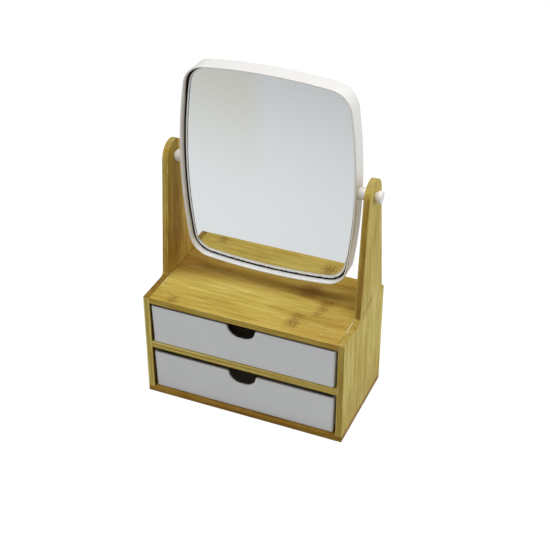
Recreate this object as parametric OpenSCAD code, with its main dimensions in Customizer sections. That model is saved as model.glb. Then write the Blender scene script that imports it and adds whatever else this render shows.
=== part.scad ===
// Table-top makeup mirror: a framed mirror swivels between two uprights over a case with two drawers.
// Millimetres. +Z is up, the front faces -Y, and the origin is the centre of the case's underside.

/* [Case] */
// Width over both side panels
case_w = 210; // [160:1:300]
// Depth of the case, front edge to rear edge
case_d = 111; // [90:1:160]
// Thickness of the side panels, shelves and uprights
board_t = 6.3; // [5:0.1:12]
// Thickness of the base board
base_t = 6; // [4:0.1:12]
// Thickness of the back panel
back_t = 4; // [3:0.1:8]

/* [Uprights] */
// Distance of the pivot ahead of the case's rear edge
pivot_from_rear = 40.8; // [34:0.1:60]
// Distance of the upright's front foot ahead of the pivot
foot_front = 28.3; // [18:0.1:32]
// Radius of the upright's rounded head
head_r = 16.3; // [12:0.1:24]
// Ledge of the side panel behind the upright
rear_ledge = 6.5; // [2:0.5:12]
// Fillet where the upright meets the front ledge
ledge_fillet = 5; // [1:0.5:10]

/* [Drawers] */
// Height of a drawer
drawer_h = 43.8; // [34:0.1:60]
// Gap above the upper drawer, under the top shelf
upper_rim_gap = 2.9; // [0.5:0.1:10]
// Gap above the lower drawer, under the middle shelf
lower_rim_gap = 5.9; // [0.5:0.1:10]
// Gap between a centred drawer's top edge and each side panel
drawer_side_gap = 2; // [1.5:0.1:6]
// Distance of the upper drawer to the left of the case's middle
upper_side_set = 0.8; // [0:0.1:1.2]
// Distance of the lower drawer to the left of the case's middle
lower_side_set = 1; // [0:0.1:1.2]
// Gap between the lower drawer and the back panel
drawer_rear_gap = 1; // [0.5:0.1:10]
// Wall and floor thickness of a drawer
drawer_wall = 2; // [1.2:0.1:4]
// Moulding draft of a drawer's walls, in degrees
drawer_draft = 1; // [0:0.1:3]
// Radius of a drawer's upright corners
drawer_corner_r = 2.2; // [1.5:0.1:8]
// Radius of the bottom edges along a drawer's sides
drawer_side_r = 3; // [1:0.1:6]
// Radius of the bottom edges along a drawer's front and rear
drawer_front_r = 1.5; // [1:0.1:6]
// Distance of the upper drawer's face behind the case's front edge
upper_face_set = 0.8; // [0:0.1:3]
// Distance of the lower drawer's face behind the case's front edge
lower_face_set = 2; // [0:0.1:3]
// Depth of the finger notch in a drawer's front
notch_depth = 12.9; // [8:0.1:20]
// Flat bottom width of the finger notch
notch_flat = 5; // [3:0.5:30]
// Radius of the finger notch's bottom corners, as a share of its depth
notch_round_share = 0.94; // [0.4:0.02:0.94]
// Slope of the finger notch's sides where they end, in degrees
notch_slope = 78; // [60:1:85]
// Radius where the finger notch meets the rim
notch_lip_r = 1.5; // [0.5:0.1:1.5]

/* [Mirror] */
// Gap between the mirror frame and each upright
mirror_side_gap = 9.4; // [9:0.1:20]
// Gap between the mirror frame and the top shelf
mirror_under_gap = 17.6; // [10:0.1:40]
// Height of the mirror frame across its bulged ends
mirror_h = 211.4; // [160:0.2:260]
// Depth of the mirror frame, front to rear
mirror_d = 19.2; // [16:0.1:30]
// Bulge of the frame's left and right sides
side_bulge = 9.3; // [3:0.1:14]
// Bulge of the frame's top and bottom
end_bulge = 5.6; // [3:0.1:14]
// Corner radius of the frame
frame_corner_r = 23.5; // [12:0.5:40]
// Wall thickness of the frame
frame_wall = 1.8; // [1.2:0.1:3]
// Depth of the glass behind the frame's front edge
glass_recess = 6; // [2:0.1:8]
// Thickness of the mirror glass
glass_t = 3; // [2:0.1:5]
// Gap between the glass's edge and the frame's wall
glass_edge_gap = 1.9; // [0.2:0.1:2.5]
// Thickness of the adhesive foam tape behind the glass
tape_t = 1; // [0.5:0.1:2]
// Thickness of the frame's inner web, which carries the glass
web_t = 1.6; // [1.2:0.1:3]
// Thickness of the rear cover's plate
cover_t = 2; // [1.5:0.1:3]

/* [Pivot pins] */
// Diameter of the frame's bosses and of the pins' heads
boss_dia = 12; // [10:0.2:18]
// Gap between a boss and its upright
boss_gap = 1.5; // [0.5:0.1:2]
// Thickness of a pin's head
pin_head_t = 4.2; // [2:0.1:8]
// Edge rounding of a pin's head
pin_head_round = 0.9; // [0.3:0.1:1.5]
// Diameter of a pin's journal, which turns in the upright
journal_dia = 8; // [6:0.1:9]
// Diameter of the pin's tail, which screws into the boss
tail_dia = 5; // [3:0.1:5.4]
// Length of the pin's tail
tail_l = 7.5; // [5:0.1:7.6]
// Distance that the right pin is left unscrewed
right_pin_out = 2; // [0:0.1:4]

/* [Joinery] */
// Diameter of the glued dowels
dowel_dia = 3; // [2:0.5:4]
// Length of the glued dowels
dowel_l = 16; // [10:1:24]
// Depth of the dowel holes in the side panels
dowel_in_side = 4; // [2:0.1:4.5]
// Distance of the dowels and screws from the case's front and rear edges
joint_inset = 22; // [12:1:30]
// Length of the screws in the base board
screw_l = 20; // [14:1:30]
// Shank diameter of the screws
screw_dia = 3; // [2:0.1:3.6]
// Head diameter of the screws
screw_head_dia = 5.8; // [4.5:0.1:6]

/* [Hidden] */

// Clearances and the overrun of every cut
slide_clear = 0.3;
journal_clear = 0.06;
glue_clear = 0.03;
cover_clear = 0.2;
screw_sink = 0.3;
over = 1;

// Heights and depths of the case, worked out from the sizes above
lower_bay_h = slide_clear + drawer_h + lower_rim_gap;
upper_bay_h = slide_clear + drawer_h + upper_rim_gap;
divider_z = base_t + lower_bay_h;
upper_floor_z = divider_z + board_t;
shelf_under_z = upper_floor_z + upper_bay_h;
shelf_z = shelf_under_z + board_t;
front_y = -case_d / 2;
rear_y = case_d / 2;
bay_w = case_w - 2 * board_t;
bay_d = case_d - back_t;
pivot_z = shelf_z + mirror_under_gap + mirror_h / 2;
pivot_y = rear_y - pivot_from_rear;

// Foot points of the upright, as [y, z]
pivot = [pivot_y, pivot_z];
front_foot = [pivot_y - foot_front, shelf_z];
rear_foot = [rear_y - rear_ledge, shelf_z];

// Drawer sizes
drawer_w = bay_w - 2 * drawer_side_gap;
drawer_d = bay_d - lower_face_set - drawer_rear_gap;
drawer_lean = tan(drawer_draft);
notch_r = notch_depth * notch_round_share;
arc_steps = 8;

// Mirror width, and depths measured back from the frame's front edge
mirror_w = bay_w - 2 * mirror_side_gap;
front_plane_y = pivot_y - mirror_d / 2;
glass_back = glass_recess + glass_t;
web_front = glass_back + tape_t;
web_back = web_front + web_t;
cover_front = mirror_d - cover_t;
cover_rib_t = 1.5;
cover_rib_pitch_share = 1 / 4;
tape_set = 1.5;
tape_inset = 9;

// The frame's outline is four wide arcs joined by four corner arcs that touch them
half_w = mirror_w / 2;
half_h = mirror_h / 2;
corner_x = half_w - side_bulge;
corner_z = half_h - end_bulge;
side_r = (corner_z * corner_z + side_bulge * side_bulge) / (2 * side_bulge);
end_r = (corner_x * corner_x + end_bulge * end_bulge) / (2 * end_bulge);
side_c = [half_w - side_r, 0];
end_c = [0, half_h - end_r];
corner_c = touching_centre(side_c, side_r - frame_corner_r, end_c, end_r - frame_corner_r);

// Boss and pin lengths
boss_end_x = bay_w / 2 - boss_gap;
boss_l = boss_end_x - half_w;
journal_l = boss_gap + board_t + slide_clear;

// Directions and points
function unit(v) = v / norm(v);
function turn_left(v) = [-v[1], v[0]];

// Centre of the circle that lies d1 from c1 and d2 from c2, on the side away from the frame's middle
function touching_centre(c1, d1, c2, d2) =
  let (d = norm(c2 - c1))
  let (a = (d1 * d1 - d2 * d2 + d * d) / (2 * d))
  let (h = sqrt(d1 * d1 - a * a))
  let (e = unit(c2 - c1))
  c1 + e * a + turn_left(e) * h;

// Point where the line from p touches the circle of radius r round c; side is 1 or -1
function touch_point(p, c, r, side) =
  let (d = norm(c - p))
  let (e = unit(c - p))
  let (reach = sqrt(d * d - r * r))
  let (along = reach * reach / d)
  let (off = reach * r / d)
  p + e * along + side * turn_left(e) * off;

// Points of an arc round c from angle a0 to a1
function arc(c, r, a0, a1) =
  [for (i = [0:arc_steps]) c + r * [cos(a0 + (a1 - a0) * i / arc_steps), sin(a0 + (a1 - a0) * i / arc_steps)]];

function mirrored(points) = [for (i = [len(points) - 1:-1:0]) [-points[i][0], points[i][1]]];

// Side panel outline: case side below, tapered upright with a round head above, as [y, z]
module panel_outline() {
  front_touch = touch_point(front_foot, pivot, head_r, 1);
  rear_touch = touch_point(rear_foot, pivot, head_r, -1);
  translate([front_y, base_t]) square([case_d, shelf_z - base_t]);
  polygon([front_foot, rear_foot, rear_touch, front_touch]);
  translate(pivot) circle(r = head_r, $fn = 96);
  ledge_fillet_outline(front_foot, unit(front_touch - front_foot));
}

// Concave fillet between the front ledge and the upright's leaning front edge
module ledge_fillet_outline(foot, along) {
  away = turn_left(along);
  rise = (ledge_fillet - ledge_fillet * away[1]) / along[1];
  centre = foot + along * rise + away * ledge_fillet;
  touch = centre - away * ledge_fillet;
  difference() {
    polygon([[centre[0], foot[1]], foot, touch, centre]);
    translate(centre) circle(r = ledge_fillet, $fn = 48);
  }
}

// Turns an outline drawn as [y, z] into a board that spans x from 0 to t
module board_from_side(t) {
  rotate([90, 0, 90]) linear_extrude(height = t) children();
}

module at_joint_rows() {
  for (y = [front_y + joint_inset, rear_y - joint_inset]) translate([0, y, 0]) children();
}

// Right-hand side panel with its pivot bore, dowel holes and screw pilot holes
module side_panel() {
  pilot_l = screw_l - base_t + over;
  dowel_rows = [divider_z + board_t / 2, shelf_z - board_t / 2];
  difference() {
    translate([bay_w / 2, 0, 0]) board_from_side(board_t) panel_outline();
    translate([bay_w / 2 - over, pivot_y, pivot_z]) rotate([0, 90, 0])
      cylinder(d = journal_dia + 2 * journal_clear, h = board_t + 2 * over, $fn = 64);
    at_joint_rows() for (z = dowel_rows) translate([bay_w / 2 - over, 0, z]) rotate([0, 90, 0])
      cylinder(d = dowel_dia + 2 * glue_clear, h = dowel_in_side + over, $fn = 32);
    at_joint_rows() translate([bay_w / 2 + board_t / 2, 0, base_t - over])
      cylinder(d = screw_dia + 2 * glue_clear, h = pilot_l + over, $fn = 32);
  }
}

module left_side_panel() {
  color("#b89f55") mirror([1, 0, 0]) side_panel();
}

module right_side_panel() {
  color("#b4a35c") side_panel();
}

// Base board, which runs under both side panels
module base_board() {
  color("#a0833f") difference() {
    translate([-case_w / 2, front_y, 0]) cube([case_w, case_d, base_t]);
    for (x = [-1, 1] * (bay_w + board_t) / 2) translate([x, 0, 0]) at_joint_rows() screw_hole();
  }
}

// Countersunk hole, whose wide end opens on z = 0
module screw_hole() {
  hole_d = screw_dia + 2 * glue_clear;
  sink_d = screw_head_dia + 2 * glue_clear;
  translate([0, 0, -over]) cylinder(d = hole_d, h = base_t + 2 * over, $fn = 32);
  translate([0, 0, -over]) cylinder(d = sink_d, h = over + screw_sink, $fn = 32);
  translate([0, 0, screw_sink]) cylinder(d1 = sink_d, d2 = hole_d, h = screw_head_l(), $fn = 32);
}

// Blind dowel holes in both ends of a shelf whose underside is at z
module shelf_end_holes(z) {
  depth = dowel_l - dowel_in_side;
  for (side = [0, 1]) mirror([side, 0, 0]) translate([bay_w / 2 - depth, 0, z + board_t / 2])
    at_joint_rows() rotate([0, 90, 0]) cylinder(d = dowel_dia + 2 * glue_clear, h = depth + over, $fn = 32);
}

module middle_shelf() {
  color("#bfa552") difference() {
    translate([-bay_w / 2, front_y, divider_z]) cube([bay_w, bay_d, board_t]);
    shelf_end_holes(divider_z);
  }
}

module top_shelf() {
  color("#c4aa54") difference() {
    translate([-bay_w / 2, front_y, shelf_under_z]) cube([bay_w, case_d, board_t]);
    shelf_end_holes(shelf_under_z);
  }
}

module back_panel() {
  color("#b59c50") translate([-bay_w / 2, rear_y - back_t, base_t])
    cube([bay_w, back_t, shelf_under_z - base_t]);
}

// Four glued dowels that join a shelf to both side panels
module dowels(z) {
  for (side = [0, 1]) mirror([side, 0, 0])
    translate([bay_w / 2 + dowel_in_side - dowel_l, 0, z + board_t / 2]) at_joint_rows()
      rotate([0, 90, 0]) cylinder(d = dowel_dia, h = dowel_l, $fn = 32);
}

module top_shelf_dowels() {
  color("#d8c48a") dowels(shelf_under_z);
}

module middle_shelf_dowels() {
  color("#d8c48a") dowels(divider_z);
}

function screw_head_l() = (screw_head_dia - screw_dia) / 2;

// Countersunk screw, head down, with a crossed recess
module screw() {
  recess_w = screw_head_dia / 6;
  recess_l = screw_head_dia * 2 / 3;
  difference() {
    union() {
      cylinder(d1 = screw_head_dia, d2 = screw_dia, h = screw_head_l(), $fn = 32);
      cylinder(d = screw_dia, h = screw_l, $fn = 32);
    }
    for (turn = [0, 90]) rotate([0, 0, turn]) translate([-recess_l / 2, -recess_w / 2, -over])
      cube([recess_l, recess_w, screw_head_l() + over]);
  }
}

module base_screws() {
  color("#9a9a98") for (x = [-1, 1] * (bay_w + board_t) / 2)
    translate([x, 0, screw_sink]) at_joint_rows() screw();
}

// Drawer outline seen along one level axis: w across the top, leaning sides, rounded bottom corners
module drafted_outline(w, h, r) {
  centre_x = w / 2 - (h - r) * drawer_lean - r / cos(drawer_draft);
  right = concat([[w / 2, h]], arc([centre_x, r], r, -drawer_draft, -90));
  polygon(concat(right, mirrored(right)));
}

// Tapered block with rounded bottom edges and rounded upright corners, standing on z = 0
module drafted_block(w, d, h, corner_r) {
  intersection() {
    rotate([90, 0, 0]) linear_extrude(height = d, center = true) drafted_outline(w, h, drawer_side_r);
    rotate([90, 0, 90]) linear_extrude(height = w, center = true) drafted_outline(d, h, drawer_front_r);
    hull() for (z = [0, h]) translate([0, 0, z])
      corner_discs(w - 2 * (h - z) * drawer_lean, d - 2 * (h - z) * drawer_lean, corner_r);
  }
}

// Thin discs in the four upright corners of a rectangle
module corner_discs(w, d, r) {
  skin = drawer_wall / 100;
  for (x = [-1, 1] * (w / 2 - r), y = [-1, 1] * (d / 2 - r))
    translate([x, y, 0]) cylinder(r = r, h = skin, center = true, $fn = 32);
}

// Finger notch, drawn round x = 0 with the rim at y = 0 and open above it
module notch_outline() {
  start = [notch_flat / 2, notch_r - notch_depth];
  low = arc(start, notch_r, -90, notch_slope - 90);
  along = [cos(notch_slope), sin(notch_slope)];
  out = [sin(notch_slope), -cos(notch_slope)];
  last = low[len(low) - 1];
  run = (-notch_lip_r - last[1] - notch_lip_r * out[1]) / along[1];
  lip_c = last + along * run + out * notch_lip_r;
  lip = arc(lip_c, notch_lip_r, 90 + notch_slope, 90);
  right = concat(low, lip, [[lip_c[0], over]]);
  polygon(concat(right, mirrored(right)));
}

// Drawer tray with its front face at y = 0, centred on x, standing on z = 0
module drawer_tray() {
  inner_cut = 2 * (drawer_wall - over * drawer_lean);
  difference() {
    translate([0, drawer_d / 2, 0]) drafted_block(drawer_w, drawer_d, drawer_h, drawer_corner_r);
    translate([0, drawer_d / 2, drawer_wall])
      drafted_block(drawer_w - inner_cut, drawer_d - inner_cut, drawer_h - drawer_wall + over,
        drawer_corner_r - drawer_wall / 2);
    translate([0, drawer_wall + 2 * over, drawer_h]) rotate([90, 0, 0])
      linear_extrude(height = drawer_wall + 3 * over) notch_outline();
  }
}

module upper_drawer() {
  place = [-upper_side_set, front_y + upper_face_set, upper_floor_z + slide_clear];
  color("#e6e6e4") translate(place) drawer_tray();
}

module lower_drawer() {
  place = [-lower_side_set, front_y + lower_face_set, base_t + slide_clear];
  color("#e6e6e4") translate(place) drawer_tray();
}

// The frame's outline drawn in by inset, as [x, z] round the pivot
module frame_outline(inset) {
  side_touch = side_c + unit(corner_c - side_c) * (side_r - inset);
  end_touch = end_c + unit(corner_c - end_c) * (end_r - inset);
  past = turn_left(unit(side_touch - end_touch)) * frame_corner_r;
  corner = [side_touch, end_touch, end_touch + past, side_touch + past];
  difference() {
    intersection_for (side = [-1, 1]) intersection() {
      translate([side * side_c[0], 0]) circle(r = side_r - inset, $fn = 720);
      translate([0, side * end_c[1]]) circle(r = end_r - inset, $fn = 720);
    }
    for (x = [0, 1], z = [0, 1]) mirror([x, 0]) mirror([0, z]) polygon(corner);
  }
  for (x = [-1, 1] * corner_c[0], z = [-1, 1] * corner_c[1])
    translate([x, z]) circle(r = frame_corner_r - inset, $fn = 96);
}

// A plate in the frame's outline, from one depth behind the frame's front edge to another
module frame_plate(inset, from, to) {
  translate([0, front_plane_y + to, pivot_z]) rotate([90, 0, 0])
    linear_extrude(height = to - from) frame_outline(inset);
}

// One-piece moulded frame: outer wall, web behind the glass and a boss on each side
module mirror_frame() {
  color("#efeeec") difference() {
    union() {
      difference() {
        frame_plate(0, 0, mirror_d);
        frame_plate(frame_wall, -over, web_front);
        frame_plate(frame_wall, web_back, mirror_d + over);
      }
      for (side = [0, 1]) mirror([side, 0, 0]) frame_boss();
    }
    for (side = [0, 1]) mirror([side, 0, 0]) translate([boss_end_x - tail_l - over, pivot_y, pivot_z])
      rotate([0, 90, 0]) cylinder(d = tail_dia + 2 * glue_clear, h = tail_l + 2 * over, $fn = 48);
  }
}

module frame_boss() {
  root = frame_wall / 2;
  translate([half_w - root, pivot_y, pivot_z]) rotate([0, 90, 0])
    cylinder(d = boss_dia, h = boss_l + root, $fn = 64);
}

module mirror_glass() {
  color("#c9d2d6") frame_plate(frame_wall + glass_edge_gap, glass_recess, glass_back);
}

// Double-sided foam tape: two upright strips and two level strips that leave the middle open
module glass_tape() {
  strip = frame_wall + glass_edge_gap + tape_inset;
  color("#8d8f90") difference() {
    frame_plate(frame_wall + glass_edge_gap + tape_set, glass_back, web_front);
    frame_plate(strip, glass_back - over, web_front + over);
  }
}

// Rear cover: plate, skirt and crossed ribs that reach the frame's web
module rear_cover() {
  edge = frame_wall + cover_clear;
  color("#eceae6") {
    frame_plate(edge, cover_front, mirror_d);
    difference() {
      frame_plate(edge, web_back, cover_front);
      frame_plate(edge + cover_rib_t, web_back - over, cover_front + over);
    }
    for (i = [-1:1]) cover_rib([i * mirror_w * cover_rib_pitch_share, 0], [cover_rib_t, mirror_h * 3 / 4]);
    for (i = [-1:1]) cover_rib([0, i * mirror_h * cover_rib_pitch_share], [mirror_w * 3 / 4, cover_rib_t]);
  }
}

module cover_rib(place, size) {
  translate([place[0], front_plane_y + cover_front, pivot_z + place[1]]) rotate([90, 0, 0])
    linear_extrude(height = cover_front - web_back) square(size, center = true);
}

// Pivot pin along +X with the shoulder of its journal at x = 0
module pivot_pin() {
  round = pin_head_round;
  head_x = journal_l;
  end_x = head_x + pin_head_t;
  tail_r = tail_dia / 2;
  tip = tail_r / 4;
  rim_r = boss_dia / 2;
  corner = arc([rim_r - round, end_x - round], round, 0, 90);
  profile = concat(
    [[0, -tail_l], [tail_r - tip, -tail_l], [tail_r, tip - tail_l], [tail_r, 0], [journal_dia / 2, 0]],
    [[journal_dia / 2, head_x], [rim_r, head_x]], corner, [[0, end_x]]);
  rotate([0, 90, 0]) rotate_extrude($fn = 64) polygon(profile);
}

module left_pivot_pin() {
  color("#f0efed") mirror([1, 0, 0]) translate([boss_end_x, pivot_y, pivot_z]) pivot_pin();
}

module right_pivot_pin() {
  color("#f0efed") translate([boss_end_x + right_pin_out, pivot_y, pivot_z]) pivot_pin();
}

left_side_panel();
right_side_panel();
base_board();
middle_shelf();
top_shelf();
back_panel();
top_shelf_dowels();
middle_shelf_dowels();
base_screws();
upper_drawer();
lower_drawer();
mirror_frame();
mirror_glass();
glass_tape();
rear_cover();
left_pivot_pin();
right_pivot_pin();
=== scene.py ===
import math

import bmesh
import bpy
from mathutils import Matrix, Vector


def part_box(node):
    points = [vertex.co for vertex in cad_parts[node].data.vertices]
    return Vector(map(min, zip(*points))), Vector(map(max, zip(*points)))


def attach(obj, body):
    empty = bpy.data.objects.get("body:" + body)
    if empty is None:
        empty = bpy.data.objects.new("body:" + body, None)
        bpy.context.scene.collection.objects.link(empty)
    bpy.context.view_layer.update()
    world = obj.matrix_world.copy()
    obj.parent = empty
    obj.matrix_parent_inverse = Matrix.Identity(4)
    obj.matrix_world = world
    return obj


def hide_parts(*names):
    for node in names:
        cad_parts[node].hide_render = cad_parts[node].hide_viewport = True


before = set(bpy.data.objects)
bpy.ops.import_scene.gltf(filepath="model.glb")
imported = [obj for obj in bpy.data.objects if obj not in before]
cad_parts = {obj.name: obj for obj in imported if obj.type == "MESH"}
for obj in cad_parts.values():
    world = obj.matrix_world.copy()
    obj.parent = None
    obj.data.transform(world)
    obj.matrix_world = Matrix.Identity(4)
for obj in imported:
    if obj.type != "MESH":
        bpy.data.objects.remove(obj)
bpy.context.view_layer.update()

MM = 0.001
PER_MM = (1 / MM, 1 / MM, 1 / MM)

# Camera, fitted to the photograph's edges: metres and degrees in the part's own frame
CAMERA_PLACE = (0.40533, -0.92382, 0.80687)
CAMERA_DOWN = 33.69
CAMERA_LEFT = 23.09
CAMERA_LENS = 81.4
SENSOR = 36.0

# Lamps: name, direction from the object's middle, size and power
LAMPS = (
    ("overhead", (0.02, -0.10, 1.0), 1.0, 12.6),
    ("fill", (-0.55, -1.0, 0.5), 0.8, 1.4),
    ("side", (1.0, 0.45, 0.42), 0.8, 5.6),
    ("left", (-1.0, -0.1, 0.2), 0.8, 1.1),
)
LAMP_DISTANCE = 1.3
LAMP_AIM = Vector((0, 0, 0.15))

# Strength of the world as a light, as mirrors see it and as the camera sees it
WORLD_LIGHT = 0.23
WORLD_MIRRORED = 0.45
WORLD_SEEN = 1.0

# The floor lies a hair below the base board, so that they don't share a plane
FLOOR_HALF = 3.0
FLOOR_DROP = 0.4 * MM

# Rounds on the edges of boards and trays, where an edge is sharper than an angle in degrees. Before that,
# points nearer than WELD are one point, and faces bent by less than FLAT_ANGLE one face
BOARD_EDGE = 0.45 * MM
TRAY_EDGE = 0.9 * MM
EDGE_ANGLE = 28
WELD = 0.001 * MM
FLAT_ANGLE = 0.4

# Edges sharper than these angles in degrees stay sharp in the shading
FRAME_SHARP = 40
GLASS_SHARP = 25
COVER_SHARP = 35
PIN_SHARP = 38

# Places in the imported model. Those of the boards are in mm, as the bamboo's marks are
shelf_low, shelf_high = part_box("top_shelf")
glass_low, glass_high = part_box("mirror_glass")
frame_low, frame_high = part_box("mirror_frame")
SHELF_FOOT = shelf_low.z / MM
SHELF_TOP = shelf_high.z / MM
FRONT_EDGE = shelf_low.y / MM
SHELF_END = shelf_high.x / MM
MIDDLE_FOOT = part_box("middle_shelf")[0].z / MM

# Mirror frame: its outline lies round the glass's, and depths count from its front
WALL = 1.8 * MM
GLASS_GAP = 1.9 * MM
GLASS_INSET = WALL + GLASS_GAP
FRAME_W = glass_high.x - glass_low.x + 2 * GLASS_INSET
FRAME_H = glass_high.z - glass_low.z + 2 * GLASS_INSET
FRAME_FRONT = frame_low.y
FRAME_D = frame_high.y - frame_low.y
GLASS_FRONT = glass_low.y - frame_low.y
GLASS_BACK = glass_high.y - frame_low.y
TAPE_T = 1.0 * MM
WEB_T = 1.6 * MM
WEB_FRONT = GLASS_BACK + TAPE_T
WEB_BACK = WEB_FRONT + WEB_T
WEB_SHOWN = 14 * MM
WEB_FILLET = 0.3 * MM
SIDE_BULGE = 9.3 * MM
END_BULGE = 5.6 * MM
CORNER_R = 23.5 * MM
RIM_ROUND = 0.75 * MM
REAR_ROUND = 0.6 * MM
COVER_FRONT = 17.2 * MM
COVER_GAP = 0.2 * MM
COVER_ROUND = 0.5 * MM

# The frame's lip ends at this depth, and the slot's dark starts so far behind the glass's front
LIP_DEPTH = 3 * MM
DARK_START = 0.9 * MM

# Extra rings: depths on the frame's outside, insets on the cover, and insets on the glass from its cut edge
OUTSIDE_RINGS = (4 * MM, 9.25 * MM)
COVER_RINGS = (1.2 * MM, 6 * MM, 16 * MM)
GLASS_RINGS = (8 * MM, 4 * MM, 2.6 * MM, 1.6 * MM, 0.8 * MM)
GLASS_ARRIS = 0.15 * MM

# Points round a quarter of the frame's outline: side, corner and end
SIDE_STEPS = 30
CORNER_STEPS = 20
END_STEPS = 26

# Pivot: bosses on the frame, with the pins' tails in their bores and the journals in the uprights
PIVOT_Y = FRAME_FRONT + FRAME_D / 2
PIVOT_Z = (glass_low.z + glass_high.z) / 2
BOSS_R = 6.0 * MM
BOSS_SUNK = 0.9 * MM
BORE_DEPTH = 3 * MM
BORE_CLEAR = 0.05 * MM
JOURNAL_R = 4.0 * MM
JOURNAL_L = 8.1 * MM
TAIL_R = 2.5 * MM
TAIL_L = 7.5 * MM
TAIL_TAPER = 0.6 * MM
TAIL_TIP_R = 1.75 * MM
PIN_HEAD_T = 4.2 * MM
PIN_HEAD_ROUND = 0.9 * MM
PIN_FACE_R = 0.5 * MM

# The boss's flared foot in mm: along the axis, and how much wider than the boss
BOSS_FLARE = ((0, 0.9), (1.0, 0.75), (1.25, 0.35), (1.7, 0.1), (2.4, 0))

# Small bevel of turned plastic: how far it reaches, and its middle point
BREAK_REACH = 0.4 * MM
BREAK_MIDDLE = 0.12 * MM

# Looks that fade: heights of the frame's low walls, with painted bounce light, and of its tops, with painted
# shade, then reaches from the glass's foot for the slot's painted shade, the ragged silver and the chipped
# edge, and from its left for the bare band
LOW_WALL_FADE = (0.27, 0.17)
TOPS_FROM = 0.3
SLOT_FADE = (16 * MM, 6 * MM)
RAGGED_FADE = (4 * MM, 26 * MM)
CHIPPED_FADE = (6 * MM, 20 * MM)
BARE_FADE = (16 * MM, 8 * MM)

# Bamboo in mm: reaches from the front edge and the shelf's top where the painted shade of the bays starts,
# the seams' reach from the panels and how they end, and places below any board's foot
BAY_FRONT = (0.5, 2.5)
BAY_HEAD = (-5, -6.5)
SEAM_FADE = (0.75, 0.3)
SEAM_END = 1.5
BELOW_FOOT = (-2, -1)

# The floor as mirrors see it: the way in which it fades, the way to its warm side, and where both change
FADE_WAY = (0.23, -1.0, 0.0)
FADE_REACH = (0.2, 0.9)
LEFT_REACH = (-0.14, 0.0)
WARM_WAY = (-1.0, 0.44, 0.0)
WARM_ASIDE = (0.0, 0.04)
WARM_AWAY = (0.28, 0.56)


def linear(r, g, b):
    """A display colour given from 0 to 255, as the shader wants it."""
    out = []
    for v in (r, g, b):
        v = v / 255
        out.append(v / 12.92 if v <= 0.04045 else ((v + 0.055) / 1.055) ** 2.4)
    return (*out, 1.0)


def past(edge, reaches):
    """Places at the given reaches from an edge."""
    return [edge + reach for reach in reaches]


WHITE = (1, 1, 1, 1)

# Bamboo colours, from pale fibre to the dark of the node marks
BAMBOO_PALE = linear(228, 205, 120)
BAMBOO_BODY = linear(207, 180, 86)
BAMBOO_DEEP = linear(178, 145, 54)
BAMBOO_NODE = linear(112, 68, 22)
BAMBOO_BURNT = linear(146, 100, 34)
SEAM_DARK = linear(92, 60, 18)
# the pale seam colour is a painted highlight
SEAM_HIGHLIGHT = linear(244, 239, 220)

# Factors on bamboo: pits of cut ends, dark and pale layers of an edge, painted shade under shelves and in
# bays
END_PITS = (0.72, 0.64, 0.52)
LAYER_DARK = (0.76, 0.71, 0.6, 1.0)
LAYER_PALE = (1.12, 1.14, 1.2, 1.0)
UNDER_SHADE = (0.42, 0.3, 0.2)
BAY_SHADE_HUE = (1, 0.85, 0.7)
PLAIN = (1.0, 1.0, 1.0)

# Plastic colours: both whites, then painted light on the frame's lip, painted bounce light on its walls,
# and painted shade in the slot round the glass
DRAWER_WHITE = linear(232, 234, 235)
FRAME_WHITE = linear(245, 243, 239)
PAINTED_LIP_LIGHT = (0.985, 0.985, 0.975, 1.0)
INNER_WALL_BOUNCE = (0.95, 0.905, 0.79, 1.0)
LOW_WALL_BOUNCE = (0.965, 0.90, 0.74, 1.0)
SLOT_SHADE = (0.05, 0.038, 0.018, 1.0)

# Glass colours: two tones of silver, the ground edge, and bare glass
SILVER = ((0.805, 0.83, 0.83, 1.0), (0.83, 0.85, 0.855, 1.0))
GROUND_EDGE = (0.95, 0.96, 0.96, 1.0)
BARE_GLASS = (0.05, 0.062, 0.08, 1.0)

# Two tones each of the hidden screws and tape
ZINC = ((0.42, 0.42, 0.40, 1.0), (0.62, 0.61, 0.58, 1.0))
FOAM = ((0.07, 0.07, 0.07, 1.0), (0.16, 0.16, 0.155, 1.0))

# Floor colours: as it lights the object, as the camera sees it besides its glow, and two hues for mirrors
FLOOR_LIT = (0.6, 0.6, 0.6, 1)
FLOOR_SHOWN = (0.22, 0.22, 0.22, 1)
FLOOR_GLOW = 0.89
FLOOR_COOL = (0.99, 1.0, 1.005, 1.0)
FLOOR_WARM = (0.95, 0.935, 0.86, 1.0)


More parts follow.
